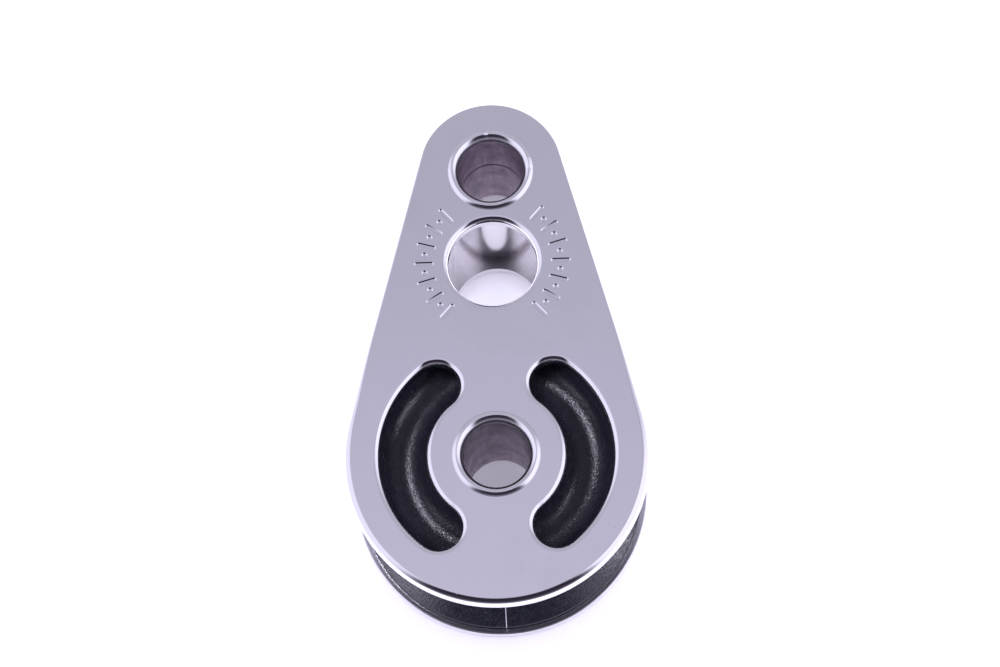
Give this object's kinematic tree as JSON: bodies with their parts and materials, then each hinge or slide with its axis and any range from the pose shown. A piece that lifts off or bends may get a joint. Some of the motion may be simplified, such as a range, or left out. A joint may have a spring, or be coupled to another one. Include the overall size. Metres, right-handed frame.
{
  "type": "single sheave block with becket",
  "caption": "Small steel-cheeked pulley block with a plain-bearing plastic sheave, a hollow-riveted head eye, a becket eye and curved cheek windows.",
  "frame": {"origin": "centre of the sheave's axle, midway between the two cheeks", "axes": "+Z along the axle, out of the front cheek; +Y up the block towards the head eye; +X to the right seen from the front"},
  "size_m": [0.026, 0.0452, 0.014],
  "materials": {
    "polished_sheet": "mirror-polished stainless sheet",
    "rivet_steel": "rolled tube, bright ends, dull bore",
    "sleeve_steel": "turned tube, semi-bright",
    "sheave_plastic": "moulded black acetal with a fine spark-eroded grain"
  },
  "bodies": {
    "block": {"front_cheek": "polished_sheet", "rear_cheek": "polished_sheet", "axle_rivet": "rivet_steel", "front_head_eyelet": "rivet_steel", "rear_head_eyelet": "rivet_steel", "axle_bush": "sleeve_steel", "head_sleeve": "sleeve_steel"},
    "sheave": {"sheave": "sheave_plastic"}
  },
  "joints": [
    {"name": "sheave_spin", "type": "hinge", "parent": "block", "child": "sheave", "pos_m": [0, 0, 0], "axis": [0, 0, 1], "continuous": true}
  ]
}
